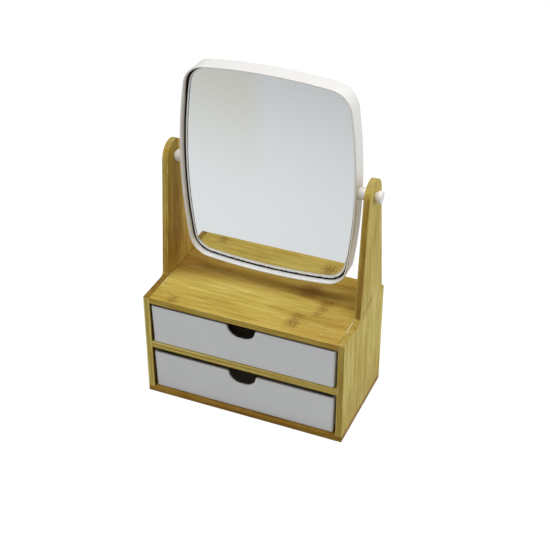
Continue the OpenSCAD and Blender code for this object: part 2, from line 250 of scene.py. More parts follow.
class Graph:
    """The node tree of a material or of the world, built by short calls."""

    def __init__(self, owner, bare=False):
        owner.use_nodes = True
        self.owner = owner
        self.tree = owner.node_tree
        if bare:
            self.tree.nodes.clear()
        self.shader = self.tree.nodes.get("Principled BSDF")
        self.coords = None

    def feed(self, socket, value):
        """Links a socket to another one, or gives it a plain value. None leaves it as it is."""
        if isinstance(value, bpy.types.NodeSocket):
            self.tree.links.new(value, socket)
        elif value is not None:
            socket.default_value = value

    def node(self, kind, inputs=None, **settings):
        """A new node with the given settings, and with its inputs filled by name."""
        made = self.tree.nodes.new(kind)
        for key, value in settings.items():
            setattr(made, key, value)
        for key, value in (inputs or {}).items():
            self.feed(made.inputs[key], value)
        return made

    def set(self, **values):
        """Fills inputs of the material's shader."""
        for key, value in values.items():
            self.feed(self.shader.inputs[key.replace("_", " ")], value)

    def maths(self, operation, a, b=None, clamp=False):
        made = self.node("ShaderNodeMath", operation=operation, use_clamp=clamp)
        self.feed(made.inputs[0], a)
        self.feed(made.inputs[1], b)
        return made.outputs[0]

    def plus(self, a, b):
        return self.maths("ADD", a, b)

    def minus(self, a, b):
        return self.maths("SUBTRACT", a, b)

    def times(self, a, b):
        return self.maths("MULTIPLY", a, b)

    def extent(self, a):
        return self.maths("ABSOLUTE", a)

    def spread(self, value, low, high, at_low, at_high, kind="LINEAR"):
        """A slope from at_low at low to at_high at high, level past both."""
        inputs = {"Value": value, "From Min": low, "From Max": high, "To Min": at_low, "To Max": at_high}
        return self.node("ShaderNodeMapRange", inputs, interpolation_type=kind, clamp=True).outputs["Result"]

    def ramp(self, value, low, high, at_low=0.0, at_high=1.0):
        """The same with soft ends."""
        return self.spread(value, low, high, at_low, at_high, "SMOOTHSTEP")

    def coordinates(self, kind):
        if self.coords is None:
            self.coords = self.node("ShaderNodeTexCoord").outputs
        return self.coords[kind]

    def place(self, scale=(1, 1, 1), shift=(0, 0, 0)):
        """Object coordinates in metres, scaled per axis."""
        inputs = {"Vector": self.coordinates("Object"), "Scale": scale, "Location": shift}
        return self.node("ShaderNodeMapping", inputs).outputs["Vector"]

    def reach(self, direction):
        """How far a place lies in a direction, in metres times the direction's length."""
        made = self.node("ShaderNodeVectorMath", operation="DOT_PRODUCT")
        self.feed(made.inputs[0], self.place())
        self.feed(made.inputs[1], direction)
        return made.outputs["Value"]

    def axes(self, vector):
        """The X, Y and Z of a vector, by name."""
        return self.node("ShaderNodeSeparateXYZ", {"Vector": vector}).outputs

    def attribute(self, name):
        return self.node("ShaderNodeAttribute", attribute_name=name).outputs["Fac"]

    def noise(self, vector, detail=2.0, roughness=0.5, distortion=0.0):
        inputs = {"Vector": vector, "Scale": 1.0, "Detail": detail, "Roughness": roughness,
                  "Distortion": distortion}
        return self.node("ShaderNodeTexNoise", inputs).outputs["Fac"]

    def even_noise(self, waves, detail=2.0, roughness=0.5, shift=(0, 0, 0)):
        """Noise with as many waves to the metre along every axis."""
        return self.noise(self.place((waves, waves, waves), shift), detail, roughness)

    def mix(self, share, a, b, blend="MIX"):
        """Colour a where share is 0, b where it is 1, or b blended over a."""
        made = self.node("ShaderNodeMix", {"Factor": share}, data_type="RGBA", blend_type=blend)
        colours = [socket for socket in made.inputs if socket.type == "RGBA"]
        self.feed(colours[0], a)
        self.feed(colours[1], b)
        return next(socket for socket in made.outputs if socket.type == "RGBA")

    def tinted(self, colour, factor):
        """A colour times a factor for red, green and blue."""
        return self.mix(1.0, colour, (*factor, 1.0), "MULTIPLY")

    def bump(self, height, distance, strength):
        inputs = {"Height": height, "Distance": distance, "Strength": strength}
        self.set(Normal=self.node("ShaderNodeBump", inputs).outputs["Normal"])

    def between(self, share, first, second):
        """One shader where share is 0, another where it is 1."""
        made = self.node("ShaderNodeMixShader")
        for socket, value in zip(made.inputs, (share, first, second)):
            self.feed(socket, value)
        return made.outputs[0]

    def by_ray(self, lit, mirrored, seen):
        """What lights the object, what mirrors show, and what the camera sees, also through glass."""
        rays = self.node("ShaderNodeLightPath").outputs
        looking = self.maths("MAXIMUM", rays["Is Camera Ray"], rays["Is Transmission Ray"])
        return self.between(looking, self.between(rays["Is Glossy Ray"], lit, mirrored), seen)


class Bamboo(Graph):
    """Lacquered bamboo, with the grain along X or Z. Places on it are in mm."""

    def __init__(self, name, grain, seed):
        super().__init__(bpy.data.materials.new(name))
        self.grain = grain
        self.seed = seed
        self.at = self.axes(self.place(PER_MM))
        self.facing = self.axes(self.coordinates("Normal"))

    def streaks(self, scale, shift, detail, roughness=0.5, distortion=0.0):
        """Noise drawn out along the grain. scale is along the grain, across it and, if given, through it."""
        along, across, through = scale if len(scale) == 3 else (*scale, scale[1])
        by_axis = (along, across, through) if self.grain == "X" else (through, across, along)
        return self.noise(self.place(by_axis, shift), detail, roughness, distortion)

    def wood(self, tone, bands):
        """The plain wood's colour, its fibre and its finest lines.

        bands are (place across the grain, half width, lift of the tone)."""
        shift = (self.seed, self.seed * 1.7, self.seed * 2.3)
        strips = self.streaks((1.2, 62), shift, 1.0)
        broad = self.streaks((14, 150), shift, 2.0)
        fibre = self.streaks((30, 560), shift, 3.0, 0.6, 0.3)
        fine = self.streaks((95, 1900), shift, 2.0, 0.6)
        tones = self.plus(self.times(strips, 0.22), self.times(broad, 0.42))
        tones = self.plus(tones, self.times(fibre, 0.40))
        tones = self.plus(tones, self.times(fine, 0.22))
        tones = self.plus(tones, tone - 0.13)
        for place, half, lift in bands:
            off = self.extent(self.maths("DIVIDE", self.minus(self.at["Y"], place), half))
            tones = self.plus(tones, self.times(self.ramp(off, 1.0, 0.3), lift))
        colour = self.mix(self.ramp(tones, 0.34, 0.54), BAMBOO_DEEP, BAMBOO_BODY)
        colour = self.mix(self.ramp(tones, 0.5, 0.68), colour, BAMBOO_PALE)
        # dark pores: short thin dashes
        pores = self.streaks((45, 1500), (self.seed + 5, 0, 0), 1.0)
        colour = self.mix(self.times(self.ramp(pores, 0.66, 0.8), 0.35), colour, BAMBOO_NODE)
        return colour, fibre, fine

    def marked(self, colour, marks, standing):
        """Node marks: dark spots in a burnt haze.

        marks are (place along the grain, across it, half length, half width, slant, strength, softness);
        across is the height where the board is standing."""
        along = self.at[self.grain]
        across = self.at["Z" if standing else "Y"]
        speckle = self.streaks((480, 900), (self.seed, 3, 9), 2.0, 0.75)
        rays = self.streaks((60, 700), (self.seed, 8, 2), 2.0, 0.6)
        wobble = self.times(self.minus(self.even_noise(220, 1.0), 0.5), 7)
        spots = 0.0
        haze = 0.0
        for along_mark, across_mark, half_l, half_w, slant, strength, softness in marks:
            aside = self.minus(across, across_mark)
            ahead = self.minus(self.plus(along, wobble), along_mark)
            ahead = self.minus(ahead, self.times(aside, slant))
            near = self.extent(self.maths("DIVIDE", ahead, half_l))
            wide = self.extent(self.maths("DIVIDE", aside, half_w))
            spot = self.times(self.ramp(near, 1.0, 0.25), self.ramp(wide, 1.0, 0.7))
            far = self.times(self.ramp(self.times(near, 0.55), 1.0, 0.0), self.ramp(wide, 1.15, 0.3))
            spots = self.maths("MAXIMUM", spots, self.times(spot, strength))
            haze = self.maths("MAXIMUM", haze, self.times(far, strength * softness))
        spots = self.times(spots, self.ramp(speckle, 0.44, 0.6))
        haze = self.times(haze, self.spread(rays, 0.35, 0.65, 0.4, 1.0))
        colour = self.mix(self.times(haze, 0.8), colour, BAMBOO_BURNT)
        return self.mix(spots, colour, BAMBOO_NODE)

    def stepped(self, plain, place, steps):
        """Factors that take over one after the other: steps are (from, to, factor) by place."""
        out = plain
        for low, high, factor in steps:
            out = self.mix(self.ramp(place, low, high), out, self.tinted(plain, factor))
        return out

    def edged(self, colour, steps):
        """Front and rear edges show the layers of the board, with painted light and shade stepped by height.
        """
        layers = self.streaks((5, 30, 900), (self.seed, 4, 2), 1.0)
        layered = self.mix(self.ramp(layers, 0.38, 0.58), LAYER_DARK, LAYER_PALE)
        fronts = self.mix(1.0, self.stepped(colour, self.at["Z"], steps), layered, "MULTIPLY")
        return self.mix(self.ramp(self.extent(self.facing["Y"]), 0.8, 0.95), colour, fronts)

    def bay_shaded(self, colour, side, level):
        """Painted shade on the face on one side that looks into the drawers' bays, behind the front edge."""
        behind = self.ramp(self.at["Y"], *past(FRONT_EDGE, BAY_FRONT))
        inside = self.times(behind, self.ramp(self.at["Z"], *past(SHELF_TOP, BAY_HEAD)))
        inside = self.times(inside, self.ramp(self.times(self.facing["X"], side), 0.5, 0.9))
        return self.mix(inside, colour, self.tinted(colour, [level * hue for hue in BAY_SHADE_HUE]))

    def cut_ended(self, colour, steps):
        """Upward ends, stepped by height, show fine cells in place of fibres."""
        cells = self.even_noise(1900, 3.0, 0.75, (self.seed, 0, 0))
        whole = self.stepped(colour, self.at["Z"], steps)
        pitted = self.mix(self.ramp(cells, 0.34, 0.52), self.tinted(whole, END_PITS), whole)
        return self.mix(self.ramp(self.facing["Z"], 0.6, 0.9), colour, pitted)

    def seamed(self, colour, seams):
        """Thin broken lines where a shelf meets a side panel: dark joints, and pale painted highlights.

        seams are (side, from, to, strength, colour)."""
        for side, low, high, strength, dye in seams:
            inset = self.minus(SHELF_END, self.times(self.at["X"], side))
            thin = self.ramp(inset, *SEAM_FADE)
            begun = self.ramp(self.at["Y"], low - SEAM_END, low)
            reach = self.times(begun, self.ramp(self.at["Y"], high + SEAM_END, high))
            broken = self.noise(self.place((0, 900, 0), (self.seed, side, 0)), 1.0)
            line = self.times(self.times(thin, reach), self.ramp(broken, 0.3, 0.5))
            colour = self.mix(self.times(line, strength), colour, dye)
        return colour


def bamboo(name, grain, seed, marks=(), standing=False, tone=0.0, tint=PLAIN, bands=(), shades=(), sides=(),
           front=(), under=None, bay_shade=None, ends=(), seams=()):
    """A board's bamboo, with its long fibres, strips of differing tone and node marks.

    tint multiplies the whole colour, and under, a painted shade, an underside. shades, sides, front and
    ends are steps: by place across the grain on top of a shelf, by height on the faces along X, on the front
    and rear edges and on upward ends; shades, sides and front paint light and shade. The painted shade in
    the drawers' bays is given as (side, level) of the face that looks into them."""
    g = Bamboo(name, grain, seed)
    colour, fibre, fine = g.wood(tone, bands)
    if marks:
        colour = g.marked(colour, marks, standing)
    colour = g.tinted(colour, tint)
    if shades:
        colour = g.mix(g.ramp(g.facing["Z"], 0.5, 0.9), colour, g.stepped(colour, g.at["Y"], shades))
    if sides:
        broadside = g.ramp(g.extent(g.facing["X"]), 0.8, 0.95)
        colour = g.mix(broadside, colour, g.stepped(colour, g.at["Z"], sides))
    if front:
        colour = g.edged(colour, front)
    # painted shade on what faces down
    if under:
        colour = g.mix(g.ramp(g.facing["Z"], -0.5, -0.9), colour, g.tinted(colour, under))
    # painted shade in the drawers' bays
    if bay_shade:
        colour = g.bay_shaded(colour, *bay_shade)
    if ends:
        colour = g.cut_ended(colour, ends)
    colour = g.seamed(colour, seams)
    g.set(Base_Color=colour, Roughness=g.spread(fibre, 0.3, 0.7, 0.62, 0.5))
    g.set(IOR=1.45, Specular_IOR_Level=0.14)
    g.bump(g.plus(fibre, g.times(fine, 0.5)), 0.06 * MM, 0.35)
    return g.owner


def all_over(factor):
    """The first of a board's steps, which holds from below its foot."""
    return (*BELOW_FOOT, factor)


def top_shelf_bamboo():
    """Node marks where the photograph has them, the mirror's painted shadow and light, side panel seams."""
    marks = [
        (47.5, -26, 9, 6, 0.0, 0.7, 0.7), (46, -38, 9.5, 9, 0.0, 0.8, 0.9), (56, -30, 7, 8, 0.0, 0.25, 0.6),
        (65, 3, 8, 6, 0.0, 0.75, 0.8), (64.5, -7, 7, 6, 0.1, 0.75, 0.7), (62, -17, 6, 6, 0.2, 0.75, 0.6),
        (42, 17, 14, 14, 0.0, 0.6, 1.4), (30, 14, 18, 8, 0.0, 0.1, 1.0), (-77, -48, 6, 7, 0.2, 0.6, 0.8),
        # the next two are broad hazes, not node marks: painted shade in the left corner under the mirror,
        # then a darker front at the right
        (-94, 16, 34, 34, 0.0, 0.05, 14), (90, -35, 46, 33, 0.0, 0.055, 12),
        (46, 62, 8, 9, 0.1, 0.9, 0.5), (-60, 36, 6, 8, 0.1, 0.5, 0.4),
    ]
    # painted light and shade across the top: a darker front, lighter before the mirror, the mirror's shadow
    # from y -3 back
    shades = [
        (-60, -59, (0.97, 0.97, 0.98)), (-42, -30, (1.02, 1.05, 1.08)), (-29, -21, (1.12, 1.17, 1.27)),
        (-3, 8, (0.80, 0.72, 0.64)), (13, 18, (0.88, 0.78, 0.73)), (21, 26, (0.85, 0.77, 0.70)),
    ]
    # painted shade along the front edge's foot, over the gap above the upper drawer
    front = [all_over((0.4, 0.35, 0.3)), (SHELF_FOOT + 0.2, SHELF_FOOT + 0.5, PLAIN)]
    seams = [
        # the pale seams are painted highlights, the dark ones joints
        (-1, -4, 50, 0.9, SEAM_DARK), (-1, -28, -6, 0.75, SEAM_HIGHLIGHT),
        (1, -56, -40, 0.75, SEAM_DARK), (1, -33, -13, 0.9, SEAM_HIGHLIGHT),
    ]
    # the band lifts the tone before the mirror: painted light that the mirror throws down
    return bamboo("bamboo_shelf_top", "X", 1.0, marks, bands=[(-12, 16, 0.05)], shades=shades, front=front,
                  under=UNDER_SHADE, seams=seams)


def middle_shelf_bamboo():
    marks = [(40, 0, 4, 60, 0.1, 0.6, 0.3)]
    # painted shade along the front edge's foot, over the gap above the lower drawer
    front = [all_over((0.3, 0.26, 0.2)), (MIDDLE_FOOT + 0.5, MIDDLE_FOOT + 0.9, (1.02, 1.02, 1.02))]
    return bamboo("bamboo_middle", "X", 4.0, marks, tint=(0.97, 1.02, 1.2), front=front, under=UNDER_SHADE)


def base_bamboo():
    """Darker all over, with a painted shadow along the foot."""
    marks = [(-60, 0, 4, 60, 0.1, 0.6, 0.3), (0, -55, 50, 60, 0.0, 0.2, 1.6)]
    sides = [all_over((0.16, 0.13, 0.1)), (1.0, 1.5, PLAIN)]
    front = [all_over((0.6, 0.55, 0.5)), (0.5, 0.9, (1.09, 1.1, 1.03))]
    return bamboo("bamboo_base", "X", 7.0, marks, tone=-0.03, tint=(0.71, 0.57, 0.44), sides=sides,
                  front=front)


def back_bamboo():
    marks = [(-34, 66, 7, 9, 0.1, 0.7, 0.7), (-30, 50, 7, 7, 0.2, 0.6, 0.6), (52, 88, 7, 8, 0.1, 0.6, 0.7)]
    return bamboo("bamboo_back", "X", 9.0, marks, standing=True)


def right_bamboo():
    marks = [
        (121, 8, 6, 16, 0.25, 0.4, 1.2), (44, -30, 5, 12, 0.1, 0.15, 1.0), (190, 12, 5, 7, 0.3, 0.1, 1.0),
    ]
    # sides and front paint light and shade by height
    sides = [
        all_over((0.91, 0.92, 0.88)), (22, 48, (1.0, 1.05, 1.1)), (88, 104, (1.03, 1.08, 1.18)),
        (116, 140, (0.94, 0.95, 0.92)),
    ]
    front = [all_over((0.83, 0.78, 0.68)), (114, 122, (0.73, 0.64, 0.53)), (165, 205, (0.81, 0.74, 0.64))]
    ends = [all_over((0.73, 0.69, 0.62)), (120, 200, (0.81, 0.86, 1.1))]
    # the paler, cooler tint is a painted sheen over the whole panel
    return bamboo("bamboo_right", "Z", 12.0, marks, tone=0.02, tint=(1.0, 1.04, 1.15), sides=sides,
                  front=front, bay_shade=(-1, 0.4), ends=ends)


def left_bamboo():
    marks = [
        (160, 0, 6, 14, -0.3, 0.12, 1.0), (60, -20, 3, 16, 0.2, 0.5, 0.5), (208, 10, 6, 8, 0.2, 0.12, 1.0),
    ]
    # sides and front paint light and shade by height
    sides = [
        all_over((1.0, 1.0, 1.15)), (128, 140, (0.9, 0.85, 0.82)), (155, 165, (1.0, 0.96, 0.84)),
        (195, 207, (1.05, 1.08, 1.0)),
    ]
    front = [all_over((1.44, 1.83, 3.3)), (114, 122, (1.0, 1.03, 1.22)), (170, 200, (1.13, 1.32, 1.98))]
    ends = [all_over((0.62, 0.56, 0.50)), (120, 200, (0.9, 1.04, 1.65))]
    # the darker tint is painted shade over the whole panel; the front's steps undo it and add painted light
    return bamboo("bamboo_left", "Z", 15.0, marks, tone=-0.02, tint=(0.86, 0.78, 0.64), sides=sides,
                  front=front, bay_shade=(1, 0.3), ends=ends)


def moulded(name, colour, grain, top_shading, lift_from=0.0):
    """Moulded plastic with a fine spark-eroded grain and a faint unevenness of tone.

    top_shading multiplies what faces up, higher than lift_from: painted light above 1, painted shade below.
    Gives the graph, the shade and the grain."""
    g = Graph(bpy.data.materials.new(name))
    cloud = g.even_noise(35)
    speck = g.even_noise(1500, 2.0, 0.6)
    darker = tuple(c * (1 - 2.2 * grain) for c in colour[:3]) + (1.0,)
    lighter = tuple(min(1.0, c * (1 + grain)) for c in colour[:3]) + (1.0,)
    tone = g.plus(g.times(cloud, 0.35), g.times(speck, 0.65))
    shade = g.mix(g.ramp(tone, 0.35, 0.65), darker, lighter)
    upward = g.ramp(g.axes(g.coordinates("Normal"))["Z"], 0.25, 0.7)
    upward = g.times(upward, g.maths("GREATER_THAN", g.axes(g.place())["Z"], lift_from))
    shade = g.mix(upward, shade, g.tinted(shade, (top_shading, top_shading, top_shading)))
    return g, shade, speck


def drawer_plastic():
    # what faces up gets painted light
    g, shade, speck = moulded("drawer_white", DRAWER_WHITE, 0.018, 1.08)
    g.set(Base_Color=shade, Roughness=g.spread(speck, 0.3, 0.7, 0.39, 0.47), IOR=1.49)
    g.bump(speck, 0.012 * MM, 0.5)
    return g.owner


def frame_plastic():
    """The mirror frame's glossy white.

    Where the mesh's attribute "recess" is 1 it goes near black: painted shade in the slot round the glass,
    where no light comes, with a ragged edge at its foot. Where it is -1 it is at its whitest: painted light.
    The low part of the side walls has painted bounce light, the tone that the bamboo beside throws back, and
    the walls that face the glass a little of it. Tops high on the frame get painted shade."""
    g, shade, speck = moulded("frame_white", FRAME_WHITE, 0.008, 0.94, TOPS_FROM)
    recess = g.attribute("recess")
    at = g.axes(g.place())
    facing_x = g.axes(g.coordinates("Normal"))["X"]
    shade = g.mix(g.maths("MULTIPLY", recess, -1.0, clamp=True), shade, PAINTED_LIP_LIGHT)
    inward = g.times(facing_x, g.times(at["X"], -2 / FRAME_W))
    shade = g.mix(g.ramp(inward, 0.35, 0.85), shade, INNER_WALL_BOUNCE)
    outer_side = g.times(g.ramp(g.extent(facing_x), 0.5, 0.9), g.maths("LESS_THAN", inward, 0.0))
    shade = g.mix(g.times(outer_side, g.ramp(at["Z"], *LOW_WALL_FADE)), shade, LOW_WALL_BOUNCE)
    flecks = g.noise(g.place((420, 900, 900)), 2.0, 0.6)
    foot = g.ramp(at["Z"], *past(glass_low.z, SLOT_FADE))
    foot = g.times(foot, g.maths("GREATER_THAN", recess, 0.02))
    ragged = g.times(g.minus(flecks, 0.5), g.times(foot, 3.0))
    dark = g.ramp(g.plus(recess, ragged), 0.1, 0.4)
    satin = g.spread(speck, 0.3, 0.7, 0.17, 0.25)
    g.set(Base_Color=g.mix(dark, shade, SLOT_SHADE), Roughness=g.plus(satin, g.times(dark, 0.7)))
    g.set(IOR=1.49, Coat_Weight=0.25)
    g.bump(speck, 0.003 * MM, 0.5)
    return g.owner


def silvered_glass():
    """Silvered glass: the pale ground edge, at the left a thin dark line where the silver ends, then silver.

    The mesh's attribute "edge_inset" is 1 where the pale band ends."""
    g = Graph(bpy.data.materials.new("silvered_glass"))
    inset = g.attribute("edge_inset")
    at = g.axes(g.place())
    ragged = g.even_noise(260, 3.0, 0.7)
    amount = g.spread(at["Z"], *past(glass_low.z, RAGGED_FADE), 0.35, 0.5)
    edge = g.plus(inset, g.times(g.minus(ragged, 0.5), amount))
    bare_side = g.ramp(at["X"], *past(glass_low.x, BARE_FADE))
    silvered = g.ramp(g.minus(edge, g.times(bare_side, 0.4)), 0.98, 1.1)
    # the cut edge is chipped at the foot, where the slot's dark shows through
    chips = g.noise(g.place((300, 300, 700)), 2.0, 0.7)
    chipped = g.spread(at["Z"], *past(glass_low.z, CHIPPED_FADE), 0.7, 0.0)
    whole = g.plus(inset, g.times(g.minus(chips, 0.5), chipped))
    ground = g.times(g.ramp(inset, 1.05, 0.95), g.ramp(whole, 0.02, 0.14))
    haze = g.even_noise(9)
    silvered = g.times(silvered, g.minus(1.0, ground))
    metallic = g.maths("MAXIMUM", silvered, g.times(ground, 0.45))
    bare = g.mix(ground, BARE_GLASS, GROUND_EDGE)
    g.set(Base_Color=g.mix(silvered, bare, g.mix(haze, *SILVER)), Metallic=metallic)
    g.set(Roughness=g.plus(g.spread(haze, 0.3, 0.7, 0.012, 0.02), g.times(ground, 0.36)))
    return g.owner


def zinc_plate():
    g = Graph(bpy.data.materials.new("zinc_plate"))
    tone = g.even_noise(900, 3.0, 0.6)
    g.set(Base_Color=g.mix(tone, *ZINC))
    g.set(Metallic=1.0, Roughness=g.spread(tone, 0.3, 0.7, 0.28, 0.42))
    g.bump(tone, 0.02 * MM, 0.4)
    return g.owner


def foam_tape():
    g = Graph(bpy.data.materials.new("foam_tape"))
    cells = g.even_noise(2600, 2.0, 0.7)
    g.set(Base_Color=g.mix(cells, *FOAM))
    g.set(Roughness=g.spread(cells, 0.3, 0.7, 0.85, 0.95))
    g.bump(cells, 0.08 * MM, 0.6)
    return g.owner


def add_to_scene(name, data):
    made = bpy.data.objects.new(name, data)
    bpy.context.scene.collection.objects.link(made)
    return made


def mesh_of(bm, name, angle):
    """The finished mesh, smooth but for edges sharper than the angle."""
    mesh = bpy.data.meshes.new(name)
    bm.to_mesh(mesh)
    bm.free()
    mesh.shade_smooth()
    mesh.set_sharp_from_angle(angle=math.radians(angle))
    return mesh


def stand_in(name, mesh, material, slot, body, *nodes):
    """Puts a finished mesh in the scene, in the place of the nodes that it stands for."""
    made = add_to_scene(name, mesh)
    mesh.materials.append(material)
    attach(made, body)
    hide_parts(*nodes)
    return made


def rounded_copy(node, name, width, material, slot, body, segments=2):
    """The node's own shape with its sharp edges broken by a small round."""
    bm = bmesh.new()
    bm.from_mesh(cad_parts[node].data)
    bmesh.ops.remove_doubles(bm, verts=bm.verts, dist=WELD)
    bmesh.ops.dissolve_limit(bm, angle_limit=math.radians(FLAT_ANGLE), verts=bm.verts, edges=bm.edges)
    made = stand_in(name, mesh_of(bm, name, EDGE_ANGLE), material, slot, body, node)
    bevel = made.modifiers.new("edges", "BEVEL")
    bevel.width = width
    bevel.segments = segments
    bevel.limit_method = "ANGLE"
    bevel.angle_limit = math.radians(EDGE_ANGLE)
    flat = made.modifiers.new("flat_faces", "WEIGHTED_NORMAL")
    flat.weight = 100
    flat.keep_sharp = True


def frame_arcs():
    """Centre and radius of the frame's side, end and corner arcs, in its own plane."""
    half_w = FRAME_W / 2
    half_h = FRAME_H / 2
    cx = half_w - SIDE_BULGE
    cz = half_h - END_BULGE
    side_r = (cz * cz + SIDE_BULGE**2) / (2 * SIDE_BULGE)
    end_r = (cx * cx + END_BULGE**2) / (2 * END_BULGE)
    side_c = Vector((half_w - side_r, 0))
    end_c = Vector((0, half_h - end_r))
    # the corner arc touches both others from inside, so its centre lies where two circles meet
    to_side, to_end = side_r - CORNER_R, end_r - CORNER_R
    gap = end_c - side_c
    along = (to_side**2 - to_end**2 + gap.length_squared) / (2 * gap.length)
    aside = math.sqrt(to_side**2 - along**2)
    way = gap.normalized()
    corner_c = side_c + way * along + Vector((-way.y, way.x)) * aside
    return side_c, side_r, end_c, end_r, corner_c


def arc(centre, radius, start, end, steps):
    """Points from the start angle up to, but without, the end angle."""
    angles = [start + (end - start) * i / steps for i in range(steps)]
    return [centre + radius * Vector((math.cos(t), math.sin(t))) for t in angles]


def frame_ring(inset):
    """Points of the frame's outline drawn in by inset, anticlockwise as seen from the front."""
    side_c, side_r, end_c, end_r, corner_c = frame_arcs()
    to_side = corner_c - side_c
    to_end = corner_c - end_c
    a_side = math.atan2(to_side.y, to_side.x)
    a_end = math.atan2(to_end.y, to_end.x)
    quarter = arc(side_c, side_r - inset, 0, a_side, SIDE_STEPS)
    quarter += arc(corner_c, CORNER_R - inset, a_side, a_end, CORNER_STEPS)
    quarter += arc(end_c, end_r - inset, a_end, math.pi / 2, END_STEPS)
    top = end_c + (end_r - inset) * Vector((0, 1))
    left = [Vector((-p.x, p.y)) for p in reversed(quarter)]
    upper = quarter + [top] + left
    lower = [Vector((p.x, -p.y)) for p in reversed(upper[1:-1])]
    return upper + lower


def join_rings(bm, rings):
    """Joins each ring to the next by quads, and closes the first and the last."""
    count = len(rings[0])
    for a, b in zip(rings, rings[1:]):
        for i in range(count):
            j = (i + 1) % count
            bm.faces.new((a[i], a[j], b[j], b[i]))
    bm.faces.new(rings[0])
    bm.faces.new(list(reversed(rings[-1])))


def swept_frame(profile):
    """A closed form from rings of the frame's outline, one per (inset, depth) of the profile."""
    bm = bmesh.new()
    rings = []
    for inset, depth in profile:
        rings.append([bm.verts.new((p.x, FRAME_FRONT + depth, PIVOT_Z + p.y)) for p in frame_ring(inset)])
    join_rings(bm, rings)
    bmesh.ops.recalc_face_normals(bm, faces=bm.faces)
    return bm


def add_turned(bm, profile, start, direction, steps=48):
    """Adds a turned form along the pivot's axis: profile is (distance along, radius)."""
    before = len(bm.faces)
    angles = [2 * math.pi * i / steps for i in range(steps)]
    rings = []
    for along, radius in profile:
        x = start + direction * along
        rings.append([
            bm.verts.new((x, PIVOT_Y + radius * math.cos(t), PIVOT_Z + radius * math.sin(t))) for t in angles
        ])
    join_rings(bm, rings)
    bm.faces.ensure_lookup_table()
    bmesh.ops.recalc_face_normals(bm, faces=bm.faces[before:])


def round_corner(cx, cy, r, start, end, steps=6):
    """Points of a small round in the (inset, depth) plane, with angles in degrees."""
    angles = [math.radians(start + (end - start) * i / steps) for i in range(steps + 1)]
    return [(cx + r * math.cos(t), cy + r * math.sin(t)) for t in angles]


def rising(place, full, gain, start):
    """0 near the middle of the frame, rising to 1 towards where place reaches full."""
    return min(1.0, max(0.0, place / full * gain - start))


def name_points(mesh, name, values):
    """Gives the mesh's points an attribute. Points after the last value get 0."""
    rest = [0.0] * (len(mesh.vertices) - len(values))
    mesh.attributes.new(name, "FLOAT", "POINT").data.foreach_set("value", values + rest)


def add_bosses(bm):
    """A boss on each side of the frame, with a flared foot and the bore for the pin's tail."""
    root = FRAME_W / 2 - BOSS_SUNK
    length = frame_high.x - root
    bore = TAIL_R + BORE_CLEAR
    profile = [(along * MM, BOSS_R + wider * MM) for along, wider in BOSS_FLARE]
    profile += [(length - BREAK_REACH, BOSS_R), (length - BREAK_MIDDLE, BOSS_R - BREAK_MIDDLE)]
    profile += [(length, BOSS_R - BREAK_REACH), (length, bore), (length - BORE_DEPTH, bore)]
    for direction in (-1, 1):
        add_turned(bm, profile, direction * root, direction)


def build_frame(material):
    r = RIM_ROUND
    slot = [(WEB_SHOWN, WEB_FRONT), (WALL + WEB_FILLET, WEB_FRONT), (WALL, WEB_FRONT - WEB_FILLET)]
    slot += [(WALL, GLASS_FRONT + DARK_START)]
    at_glass = [(WALL, GLASS_FRONT)]
    lip = [(WALL, LIP_DEPTH)] + round_corner(WALL - r, r, r, 0, -90)
    outside = round_corner(r, r, r, -90, -180)
    outside += [(0, depth) for depth in (*OUTSIDE_RINGS, FRAME_D - 2 * REAR_ROUND)]
    outside += round_corner(REAR_ROUND, FRAME_D - REAR_ROUND, REAR_ROUND, 180, 90, 4)
    rear = [(WALL, FRAME_D), (WALL, WEB_BACK), (WEB_SHOWN, WEB_BACK)]
    bm = swept_frame(slot + at_glass + lip + outside + rear)
    add_bosses(bm)
    mesh = mesh_of(bm, "frame_moulding", FRAME_SHARP)
    # painted shade in the slot, and on the wall before the glass only at the upper corners;
    # painted light on the lip, whitest at the foot
    outline = frame_ring(0)
    recess = [1.0] * len(slot) * len(outline)
    for p in outline:
        recess.append(rising(p.y, FRAME_H / 2, 3.3, 1.8) * rising(abs(p.x), FRAME_W / 2, 2.5, 0.6))
    recess += [-rising(-p.y, FRAME_H / 2, 3, 1.5) for p in outline] * len(lip)
    name_points(mesh, "recess", recess)
    stand_in("frame_moulding", mesh, material, "frame_plastic", "mirror", "mirror_frame")


def build_glass(material):
    """The glass's own closed form: front face, a small arris, then the cut edge back to the rear."""
    edge = GLASS_INSET
    profile = [(edge + inset, GLASS_FRONT) for inset in (*GLASS_RINGS, GLASS_ARRIS)]
    profile += [(edge, GLASS_FRONT + GLASS_ARRIS), (edge, GLASS_BACK)]
    mesh = mesh_of(swept_frame(profile), "looking_glass", GLASS_SHARP)
    # the cut edge shows widest at the foot, less at the left, hardly at the head and the right
    band = []
    for p in frame_ring(edge):
        foot = rising(-p.y, FRAME_H / 2, 4, 2.6)
        left = rising(-p.x, FRAME_W / 2, 4, 2.6)
        band.append(0.45 + 2.95 * foot if foot > left else 0.45 + 1.15 * left)
    insets = [inset / MM / width for inset in (*GLASS_RINGS, GLASS_ARRIS, 0, 0) for width in band]
    name_points(mesh, "edge_inset", insets)
    stand_in("looking_glass", mesh, material, "mirror_glass", "mirror", "mirror_glass")


def build_cover(material):
    edge = WALL + COVER_GAP
    r = COVER_ROUND
    profile = [(edge, COVER_FRONT), (edge, FRAME_D - r)]
    profile += round_corner(edge + r, FRAME_D - r, r, 180, 90, 4)
    profile += [(edge + inset, FRAME_D) for inset in COVER_RINGS]
    mesh = mesh_of(swept_frame(profile), "back_cover", COVER_SHARP)
    stand_in("back_cover", mesh, material, "frame_plastic", "mirror", "rear_cover")


